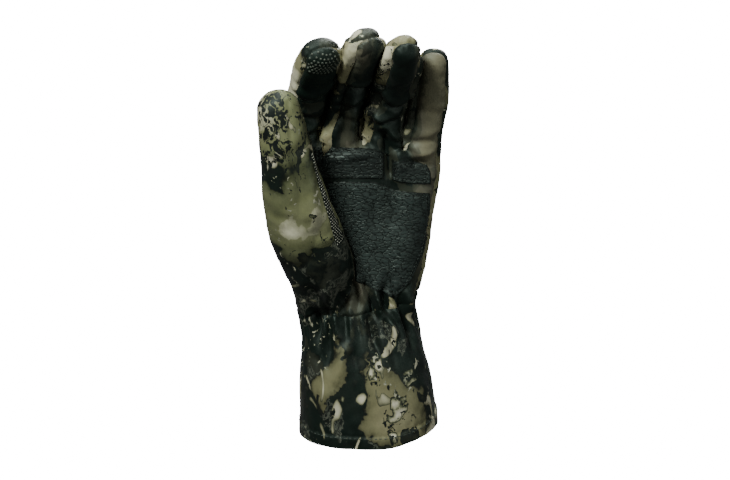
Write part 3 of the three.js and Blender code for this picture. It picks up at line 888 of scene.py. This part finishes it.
def blotches(finish, colour, bent, slanting, light, streaky, pale):
    """Large pale blotches, long cream streaks, and dark holes in both."""
    blotch = finish.math(finish.noise(bent, 19, 1.4, 0.4, 0.3), light)
    colour = finish.print_over(colour, blotch, 0.533, 0.536, pale)
    brighter = finish.math(finish.math(light, 0.1, "MULTIPLY"), streaky)
    streak = finish.math(finish.noise(slanting, 44, 1.0, 0.4, 1.2), brighter)
    colour = finish.print_over(colour, streak, 0.672, 0.675,
                               [(0.674, "#0c0f0a"), (0.682, "#5c5e45"), (0.71, "#a3a384"),
                                (0.75, "#c3c2a6")])
    hole = finish.noise(bent, 52, 1.5, 0.5, 0.5)
    return finish.print_over(colour, hole, 0.625, 0.63,
                             [(0.63, "#030806"), (0.66, "#121710"), (0.70, "#272a1e")])


def small_marks(finish, colour, flat, bent, mottle):
    """Pebbles, pale specks and dark scribbles, each only in some places."""
    pebble = finish.add("ShaderNodeTexVoronoi", {"feature": "F1"}, Vector=bent, Scale=58,
                        Randomness=1.0).outputs["Distance"]
    pebble = finish.math(pebble, finish.ramp(finish.noise(flat, 30, 1), [(0.50, 1.0), (0.56, 0.0)]))
    colour = finish.print_over(colour, pebble, 0.26, 0.255,
                               [(0.05, "#c8c7ae"), (0.15, "#9d9e7e"), (0.20, "#53573f"), (0.235, "#070c09")])
    speck = finish.math(finish.noise(bent, 230, 2.5, 0.6),
                        finish.ramp(finish.noise(flat, 42, 1.5), [(0.52, 0.0), (0.60, 0.12)]))
    colour = finish.print_over(colour, speck, 0.735, 0.745, [(0.745, "#666b57"), (0.80, "#b0b196")])
    dark = finish.math(finish.noise(bent, 170, 3, 0.55, 1.2),
                       finish.ramp(finish.noise(flat, 37, 1), [(0.50, 0.0), (0.62, 0.13)]))
    if mottle:
        dark = finish.math(dark, bias(finish, "Z", mottle))
    return finish.print_over(colour, dark, 0.70, 0.71, tone("#060b08"))


def printed_cloth(name, shift, upward, sideways, pale=TAN, turn=0.0, streaky=0.0, mottle=None):
    """The print from one place of the cloth; upward and sideways say where it is paler or darker."""
    finish = Finish(name, 0.8, 0.02)
    flat = finish.moved(shift, (1, 1, 0.75), (0, turn, 0))
    bent = finish.wobbled(flat, 95, 3.0, 0.009)
    slanting = finish.moved(shift, (1.3, 1.3, 0.8), (0, turn + 0.7, 0))
    light = finish.math(bias(finish, "Z", upward), bias(finish, "X", sideways))
    colour = blotches(finish, dark_ground(finish, bent), bent, slanting, light, streaky, pale)
    return finish_cloth(finish, small_marks(finish, colour, flat, bent, mottle))


print("layers: ground, blotches, small marks")

# %% Print the cloth of each panel
back_print = printed_cloth(
    "back_print", (0.47, 0.21, 0.79),
    [(0, 0.0), (120, 0.01), (235, 0.02), (258, 0.04), (276, 0.03), (290, 0.03)],
    [(-60, 0.02), (-48, 0.07), (-28, 0.07), (-14, 0.0), (0, 0.0), (50, 0.02)])
# The thumb is a little paler towards its outer side, at x -72 mm, partly a painted highlight there.
thumb_print = printed_cloth(
    "thumb_print", (0.6, 0.22, 1.9),
    [(80, -0.2), (108, -0.19), (117, -0.14), (141, -0.13), (152, 0.06), (180, 0.08), (205, 0.06),
     (222, 0.06), (250, 0.05)],
    [(-72, 0.05), (-60, 0.03), (-46, 0.02), (-20, 0.02)],
    KHAKI, turn=0.4, mottle=[(188, 0.0), (206, 0.1), (250, 0.1)])
cuff_print = printed_cloth(
    "cuff_print", (1.16, 0.39, 1.93),
    [(0, -0.02), (16, 0.0), (40, 0.0), (52, -0.05), (62, -0.12), (76, -0.1), (100, -0.1)],
    [(-55, -0.04), (-20, 0.0), (5, 0.015), (16, 0.005), (30, -0.03), (50, -0.04)],
    turn=-0.35, streaky=0.03)
# Side strips: darker from z 225 to 250 mm is painted shade under the bent fingertips, and darker from x 22
# mm on is painted shade in the gap between ring and little finger.
side_print = printed_cloth(
    "side_print", (0.44, 1.07, 0.55),
    [(170, 0.16), (208, 0.16), (225, 0.02), (250, 0.0), (262, 0.08), (290, 0.05)],
    [(-30, 0.03), (0, 0.02), (14, 0.0), (22, -0.16), (30, -0.16)], turn=0.2)
print("prints:", [m.name for m in (back_print, thumb_print, cuff_print, side_print)])

# %% [markdown]
# ### The palm's darker cloth
# The palm is cut from a quieter, darker print: soft steps from black-green to brown, nearly plain on the
# little finger. Some steps are partly painted light: shade in the crease down the palm, and a highlight on
# the ridges where the fingers start. It needs only one large noise, a smaller one for stains, and a few
# pale shreds at the wrist.

# %% Print the palm's cloth
def palm_cloth():
    finish = Finish("palm_print", 0.8, 0.02)
    flat = finish.moved((0.4, 0.9, 0.1), (1, 1, 0.6), (0, 0.3, 0))
    bent = finish.wobbled(flat, 80, 2.0, 0.008)
    # Partly painted: shade in the crease at x 13 to 20 mm, highlight on the ridges at z 192 to 213 mm.
    sideways = bias(finish, "X", [(-60, -0.05), (-24, 0.0), (-14, 0.1), (-4, 0.08), (2, -0.05), (8, -0.12),
                                  (13, -0.3), (20, -0.3), (25, -0.1), (30, 0.08), (37, 0.18), (60, 0.22)])
    upward = bias(finish, "Z", [(60, -0.12), (112, -0.1), (130, -0.05), (168, -0.18), (186, -0.18),
                                (192, 0.02), (198, 0.12), (204, 0.1), (213, 0.01), (300, 0.01)])
    large = finish.math(finish.noise(bent, 19, 1.5, 0.45, 0.3), finish.math(sideways, upward))
    colour = finish.ramp(large, [(0.42, "#000a05"), (0.51, "#05100b"), (0.518, "#141a13"),
                                 (0.565, "#22271d"), (0.573, "#34362a"), (0.64, "#424335"),
                                 (0.648, "#525143"), (0.72, "#5a5947"), (0.8, "#67654f")])
    stain = finish.noise(bent, 48, 2.5, 0.5, 0.6)
    colour = finish.print_over(colour, stain, 0.61, 0.615, tone("#34372a"), 0.5)
    colour = finish.print_over(colour, stain, 0.375, 0.37, tone("#0c100a"), 0.75)
    shred = finish.math(finish.noise(flat, 62, 3.0, 0.6, 0.8),
                        bias(finish, "Z", [(60, 0.05), (108, 0.04), (124, -0.2), (300, -0.2)]))
    colour = finish.print_over(colour, shred, 0.585, 0.59,
                               [(0.59, "#0a0e09"), (0.60, "#4d5038"), (0.66, "#8c8a68"), (0.70, "#b5b394")])
    return finish_cloth(finish, colour)


palm_finish = palm_cloth()
print("palm:", palm_finish.name, "with", len(palm_finish.node_tree.nodes), "nodes")

# %% [markdown]
# ### Leather, grip dots and thread
# The patch is a dark artificial leather with a crackled grain: short wavy grooves, wider than they are
# high. Cells of a Voronoi pattern have such borders, so the distance to a cell's border makes both the
# relief and the darker colour in the grooves. The leather darkens at its edge, a dark cut edge with painted
# shade along it, and in the groove that the thread presses into it, which is painted shade; both follow an
# attribute of the mesh, from_edge, the distance to the edge in millimetres. Higher up, over the bands, the
# leather is painted darker, a painted shadow. Thread and dots are plain, with a little gloss.

# %% Crackled leather
def crackled_leather():
    finish = Finish("crackled_leather", 0.5)
    bent = finish.wobbled(finish.moved((0, 0, 0), (0.75, 0.75, 1.9)), 200, 2.0, 0.0018)
    border = finish.add("ShaderNodeTexVoronoi", {"feature": "DISTANCE_TO_EDGE"}, Vector=bent,
                        Scale=255, Randomness=0.9).outputs["Distance"]
    cloudy = finish.noise(finish.place, 60, 4, 0.6)
    colour = finish.ramp(border, [(0.025, "#0c1210"), (0.085, "#28312e"), (0.4, "#323d39")])
    colour = finish.mix(1.0, colour, finish.ramp(cloudy, [(0.35, 0.72), (0.65, 1.0)]), "MULTIPLY")
    # Painted shadow on the bands: the leather darkens from z 176 to 186 mm and stays dark above.
    painted_band_shadow = bias(finish, "Z", [(160, 0.5), (176, 0.5), (186, 0.0), (210, 0.0)])
    colour = finish.mix(1.0, colour, finish.ramp(painted_band_shadow, [(0.0, 0.42), (0.5, 1.0)]), "MULTIPLY")
    # Painted shade in the stitch groove, and a dark cut edge with painted shade along it.
    from_edge = finish.add("ShaderNodeAttribute", {"attribute_name": "from_edge"}).outputs["Fac"]
    cut_edge_and_groove_shade = finish.ramp(finish.math(from_edge, 5.0, "DIVIDE"),
                      [(0.08, 0.12), (0.16, 0.3), (0.22, 1.0), (0.36, 1.0), (0.41, 0.22), (0.51, 0.22),
                       (0.56, 0.9), (0.7, 0.9)])
    colour = finish.mix(1.0, colour, cut_edge_and_groove_shade, "MULTIPLY")
    gloss = finish.ramp(cloudy, [(0.3, 0.62), (0.7, 0.44)])
    pores = finish.relief(finish.noise(finish.place, 1500, 3), 0.00005, 0.5)
    grain = finish.relief(finish.ramp(border, [(0.0, 0.0), (0.14, 1.0)]), 0.00035, 0.9, pores)
    return finish.done(Base_Color=colour, Roughness=gloss, Normal=grain)


leather = crackled_leather()
print("leather:", leather.name, "with", len(leather.node_tree.nodes), "nodes")

# %% Plain finishes
def plain_finish(name, dark, pale, roughness, scale, depth):
    finish = Finish(name, roughness)
    cloudy = finish.noise(finish.place, scale, 3, 0.6)
    return finish.done(Base_Color=finish.ramp(cloudy, [(0.35, dark), (0.65, pale)]),
                       Normal=finish.relief(cloudy, depth, 0.6))


tip_cloth = plain_finish("smooth_tip_cloth", "#000b06", "#02120b", 0.6, 700, 0.00008)
strip_cloth = plain_finish("strip_cloth", "#030705", "#0b110e", 0.7, 500, 0.0001)
rubber = plain_finish("grip_rubber", "#3c423a", "#555b50", 0.5, 900, 0.00003)
pale_rubber = plain_finish("pale_grip_rubber", "#7d8074", "#a0a292", 0.5, 900, 0.00003)
thread = plain_finish("dark_thread", "#2b322e", "#464e49", 0.6, 2500, 0.00005)
print("plain finishes:", [m.name for m in (tip_cloth, strip_cloth, rubber, pale_rubber, thread)])

# %% [markdown]
# ## Sewing the panels
# Each panel is cut out of the skin as its own piece, and a wall is given to it with a Solidify modifier:
# outer cloth, membrane and lining together are nearly two millimetres. A fine bevel rolls its edges, so
# that a seam reads as two rolled edges lying against each other. Modifiers are used because they keep the
# cut edges even, where an extruded wall would need its corners mended.

# %% Cut out the panels
WALL = 1.7
ROLL = 0.3


def cut_out(panel):
    """A copy of one panel of the skin."""
    part = skin.copy()
    keep_faces(part, [PANELS[f.material_index] == panel for f in part.faces])
    return part


def settled(form, name, finish, node, wall=0, roll=0):
    """Makes a finished piece from a form in millimetres; wall and roll thicken it and round its edges."""
    bmesh.ops.scale(form, vec=(MM, MM, MM), verts=form.verts)
    for f in form.faces:
        f.material_index = 0
        f.smooth = True
    piece = object_of(name, form, finish)
    if wall:
        thick = piece.modifiers.new("wall", "SOLIDIFY")
        thick.thickness = wall * MM
        thick.offset = -1
    if roll:
        edge = piece.modifiers.new("rolled_edge", "BEVEL")
        edge.width = roll * MM
        edge.segments = 2
        edge.limit_method = "ANGLE"
        edge.angle_limit = math.radians(64)
        edge.harden_normals = True
    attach(piece, "root")
    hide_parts(node)
    return piece


PANEL_FINISH = {
    "cuff": (cuff_print, "camouflage_cloth"), "thumb": (thumb_print, "camouflage_cloth"),
    "palm_panel": (palm_finish, "palm_cloth"), "back_panel": (back_print, "camouflage_cloth"),
}
SIDE_STRIP = side_print, "side_cloth"
for panel in PANELS:
    finish, slot_name = PANEL_FINISH.get(panel, SIDE_STRIP)
    piece = settled(cut_out(panel), panel + "_cloth", finish, panel, WALL, ROLL)
    print(piece.name, len(piece.data.polygons), "faces")

# %% [markdown]
# ## Patch and bands
# The leather patch and the two bands lie on the palm and follow every dip of it. Modelling them flat and
# shrinkwrapping them would do, but the palm is already there: a copy of it is cut along the patch's
# outline, lifted by the leather's thickness and let down to the cloth at its border.

# %% Measure to an outline
# x and z of the corners, in millimetres
PALM_PATCH = [[-30, 177.5], [-14, 178.5], [4, 178], [14.5, 173.5], [16, 172], [30, 171], [40.3, 169],
              [41.2, 148], [37.2, 128.5], [28, 109.5], [18.5, 98.5], [5, 105], [-8.5, 111], [-9.8, 128],
              [-15, 142], [-24, 156]]
BAND_INDEX_MIDDLE = [[-41, 200], [-20, 201], [2, 200], [10, 197], [10, 179.6], [-8, 180.6], [-30, 180],
                     [-42, 179.6]]
BAND_RING_LITTLE = [[15.5, 192], [26, 192], [38, 188.5], [40.5, 184], [41, 175], [28, 176.4], [15.5, 178.4]]


def inside_of(flat, outline):
    """Distance to the outline, positive inside it."""
    corners = np.array(outline, float)
    best = np.full(len(flat), 1e9)
    inside = np.zeros(len(flat), bool)
    for a, b in zip(corners, np.roll(corners, -1, axis=0)):
        run = b - a
        share = np.clip(((flat - a) @ run) / (run @ run), 0, 1)
        best = np.minimum(best, np.linalg.norm(flat - a - share[:, None] * run, axis=1))
        crosses = (a[1] > flat[:, 1]) != (b[1] > flat[:, 1])
        with np.errstate(divide="ignore", invalid="ignore"):
            level = a[0] + (flat[:, 1] - a[1]) * run[0] / run[1]
        inside ^= crosses & (flat[:, 0] < level)
    return np.where(inside, best, -best)


patch_middle = np.array([[5.0, 145.0]])
print("from the patch's middle to its edge:", round(float(inside_of(patch_middle, PALM_PATCH)[0]), 1), "mm")

# %% Cut a layer that lies on the cloth
FAR_OUT = -9
CUT_MARGIN = 4  # cloth farther outside an outline is dropped before the cut
STITCH_LINE = 2.3
EDGE_RISE = 0.2
EDGE_WIDTH = 1.3
GROOVE_DEPTH = 0.5
GROOVE_WIDTH = 0.6


def lifted(panel, value_of, lift, groove):
    """The part of a panel where value_of, the distance to the edge, is above zero, lifted off the panel."""
    part = cut_out(panel)
    layer = part.verts.layers.float.get("line")
    for v, value in zip(part.verts, value_of(spots_of(part))):
        v[layer] = value
    bmesh.ops.delete(part, geom=[v for v in part.verts if v[layer] < -CUT_MARGIN], context="VERTS")
    cut_along(part, value_of(spots_of(part)))
    keep_faces(part, value_of(middles_of(part)) > 0)
    bmesh.ops.delete(part, geom=[v for v in part.verts if not v.link_faces], context="VERTS")
    part.normal_update()
    inner = value_of(spots_of(part))
    rise = EDGE_RISE + (lift - EDGE_RISE) * smooth(inner / EDGE_WIDTH)
    rise -= GROOVE_DEPTH * np.exp(-(((inner - groove) / GROOVE_WIDTH) ** 2))
    from_edge = part.verts.layers.float.new("from_edge")
    for v, up, inward in zip(part.verts, rise, inner):
        v.co += v.normal * float(up)
        v[from_edge] = inward
    part.normal_update()
    return part


def on_palm(outline):
    """The value_of of a layer on the palm: the distance to its outline, far out on the back."""
    def value_of(spots):
        return np.where(spots[:, 1] < -3, inside_of(spots[:, [0, 2]], outline), FAR_OUT)
    return value_of


print("stitches run", STITCH_LINE, "mm inside the edge")

# %% [markdown]
# Every patch is sewn on with a row of short stitches. Each stitch is a small stretched ball: a curve with a
# bevel would be smoother, but a ball of 30 faces is enough at this size. To find the places, a ray is cast
# onto the leather from every point of a path that follows the outline.

# %% Lay stitches along a path
STITCH_BALL = 6, 5  # faces around, and from pole to pole
THREAD = 0.26, 0.24  # half the thread's width and height
PATCH_STITCH = 2.5, 1.9  # from one stitch to the next, and a stitch's length
HEM_STITCH = 3.1, 2.4
WIDEST_HOP = 3  # no stitch is laid where two rays land farther apart than this


def ball(form, matrix, around, upward):
    bmesh.ops.create_uvsphere(form, u_segments=around, v_segments=upward, radius=1, matrix=matrix)


def balls_in(piece, size):
    return len(piece.data.polygons) // math.prod(size)


def thread_line(tree, starts, ways, every, length):
    """Small stitches along a line of rays that are cast onto the cloth."""
    hits = [tree.ray_cast(Vector(start), Vector(way))[:2] for start, way in zip(starts, ways)]
    hits = [(place, normal) for place, normal in hits if place is not None]
    form = bmesh.new()
    walked = 0.0
    for (here, normal), (there, _) in zip(hits, hits[1:]):
        step = (there - here).length
        walked += step
        if walked < every or step > WIDEST_HOP:
            walked = min(walked, every)
            continue
        walked = 0.0
        along = (there - here).normalized()
        out = (normal - along * normal.dot(along)).normalized()
        matrix = ring_matrix(here + out * 0.1, out.cross(along), out, along * length / 2, *THREAD)
        ball(form, matrix, *STITCH_BALL)
    return form


def inset_path(outline, inset, step=0.4):
    """Points that follow the outline at a distance inside it."""
    corners = np.array(outline, float)
    points = []
    for a, b in zip(corners, np.roll(corners, -1, axis=0)):
        run = b - a
        span = np.linalg.norm(run)
        inward = np.array([run[1], -run[0]]) / span
        if inside_of(np.array([(a + b) / 2 + inward]), outline)[0] < 0:
            inward = -inward
        for k in range(int(span / step)):
            spot = a + run * k * step / span + inward * inset
            if inside_of(spot[None], outline)[0] > inset - 0.05:
                points.append(spot)
    return points


print("points along the patch:", len(inset_path(PALM_PATCH, STITCH_LINE)))

# %% Sew on the patch and the bands
for node, outline, lift in (("palm_patch", PALM_PATCH, 1.15), ("band_index_middle", BAND_INDEX_MIDDLE, 1.1),
                            ("band_ring_little", BAND_RING_LITTLE, 1.1)):
    layer_form = lifted("palm_panel", on_palm(outline), lift, STITCH_LINE)
    starts = [(x, -90, z) for x, z in inset_path(outline, STITCH_LINE)]
    tree = BVHTree.FromBMesh(layer_form)
    stitch_form = thread_line(tree, starts, [(0, 1, 0)] * len(starts), *PATCH_STITCH)
    stitches = settled(stitch_form, node + "_stitches", thread, node)
    piece = settled(layer_form, node + "_leather", leather, node, wall=1.0, roll=0.25)
    print(piece.name, len(piece.data.polygons), "faces,", balls_in(stitches, STITCH_BALL), "stitches")

# %% [markdown]
# ## The index finger's tip
# The front of the index finger ends in a smooth dark cover with rows of small rubber dots, for gripping.
# It is cut from the same cloth surface, between the two front seams. The dots could be instances on
# the faces, but rays from in front of the finger put them in straight rows, every other row shifted.

# %% The cover and its dots
COVER_START = 59  # from the finger's root
NO_GROOVE = 40  # so far from the edge that no groove is pressed in
DOT_BALL = 10, 6
DOT_STEP = 2.45
ROW_STEP = 2.1
ROW_SHIFT = 1.22
RAY = 60


def index_cover(spots):
    here = lie(spots, "index")
    value = np.minimum(front_line(here) - 0.5, here["from_root"] - COVER_START)
    return np.where(here["reach"] < 1.5, value, FAR_OUT)


def dots(tree, starts, ways, radius, height, name, finish, node):
    form = bmesh.new()
    for start, way in zip(starts, ways):
        place, normal, _, _ = tree.ray_cast(Vector(start), Vector(way), RAY)
        if place is None:
            continue
        side = normal.orthogonal().normalized()
        matrix = ring_matrix(place, side, normal.cross(side), normal * height, radius, radius)
        ball(form, matrix, *DOT_BALL)
    return settled(form, name, finish, node)


cover = lifted("palm_panel", index_cover, 0.5, NO_GROOVE)
tree = BVHTree.FromBMesh(cover)
starts, ways = [], []
TABLE_STEP = 16.5  # mm between the last two rows of the index finger's table
# eight rows, from over the tip down; below zero they lie past the table's last row
for row, back_off in enumerate(np.arange(-8.6, 6.5, ROW_STEP)):
    centre, across, forward, along, width, depth = stance("index", 6 - max(0.0, back_off) / TABLE_STEP)
    centre = centre - along * min(0.0, float(back_off))
    for aside in np.arange(-9.8, 10, DOT_STEP) + (row % 2) * ROW_SHIFT:
        if abs(aside) < 9.9:
            starts.append(centre + across * float(aside) + forward * 40)
            ways.append(-forward)
tip_dots = dots(tree, starts, ways, 0.76, 0.42, "index_tip_dots", rubber, "index_tip_patch")
piece = settled(cover, "index_tip_cover", tip_cloth, "index_tip_patch", wall=0.8, roll=0.2)
print(piece.name, len(piece.data.polygons), "faces,", balls_in(tip_dots, DOT_BALL), "dots")

# %% [markdown]
# ## The thumb's grip strip
# A narrow dotted strip runs down the inner edge of the thumb, where it meets the palm, and widens
# towards the heel of the hand. It is made as the cover is, with rays from all along the thumb.

# %% The strip and its dots
STRIP_ANGLE = 73  # from the thumb's front towards the palm
STRIP_WIDTH = [3.3, 4.2, 6.3], [11, 9, 5.5]  # steps along the thumb, and half the width in degrees there
STRIP_ENDS = 3.3, 6.2
THUMB_STEP = 20  # about the length of a step of the thumb's table
THUMB_RADIUS = 19
DOT_TURN = 4.6  # degrees from dot to dot


def strip_value(spots):
    here = lie(spots, "thumb")
    angle = np.degrees(np.arctan2(here["aside"], here["ahead"]))
    inward = np.interp(here["row"], *STRIP_WIDTH) - np.abs(angle - STRIP_ANGLE)
    low, high = STRIP_ENDS
    value = np.minimum(inward * math.pi / 180 * THUMB_RADIUS, (here["row"] - low) * THUMB_STEP)
    value = np.minimum(value, (high - here["row"]) * THUMB_STEP)
    return np.where(here["reach"] < 1.5, value, FAR_OUT)


strip = lifted("thumb", strip_value, 0.5, NO_GROOVE)
tree = BVHTree.FromBMesh(strip)
starts, ways = [], []
for k, s in enumerate(np.linspace(3.35, 6.15, 38)):
    centre, across, forward, along, width, depth = stance("thumb", s)
    wide = np.interp(s, *STRIP_WIDTH)
    for angle in np.arange(-wide + 1.2, wide - 1.1, DOT_TURN) + (k % 2) * DOT_TURN / 2:
        turn = math.radians(STRIP_ANGLE + float(angle))
        out = forward * math.cos(turn) + across * math.sin(turn)
        starts.append(centre + out * 45)
        ways.append(-out)
strip_dots = dots(tree, starts, ways, 0.44, 0.35, "thumb_strip_dots", pale_rubber, "thumb_grip_strip")
piece = settled(strip, "thumb_strip", strip_cloth, "thumb_grip_strip", wall=0.8, roll=0.2)
print(piece.name, len(piece.data.polygons), "faces,", balls_in(strip_dots, DOT_BALL), "dots")

# %% [markdown]
# ## The hem's stitching
# The cuff's end is turned up and sewn down all round with one row of long stitches. Rays from outside the
# cuff towards its middle find the cloth, a millimetre under the hem's upper edge.

# %% Sew the hem
tree = BVHTree.FromBMesh(skin)
starts, ways = [], []
width, depth = HAND[1][3:]
for turn in np.linspace(0, 2 * math.pi, 900):
    x = width * math.cos(turn)
    starts.append((2 * x, 2 * depth * math.sin(turn), HEM - 1 + float(hem_lift(x))))
    ways.append((-math.cos(turn), -math.sin(turn), 0))
hem_thread = thread_line(tree, starts, ways, *HEM_STITCH)
hem_stitches = settled(hem_thread, "hem_stitches", thread, "cuff")
skin.free()
print("hem stitches:", balls_in(hem_stitches, STITCH_BALL))
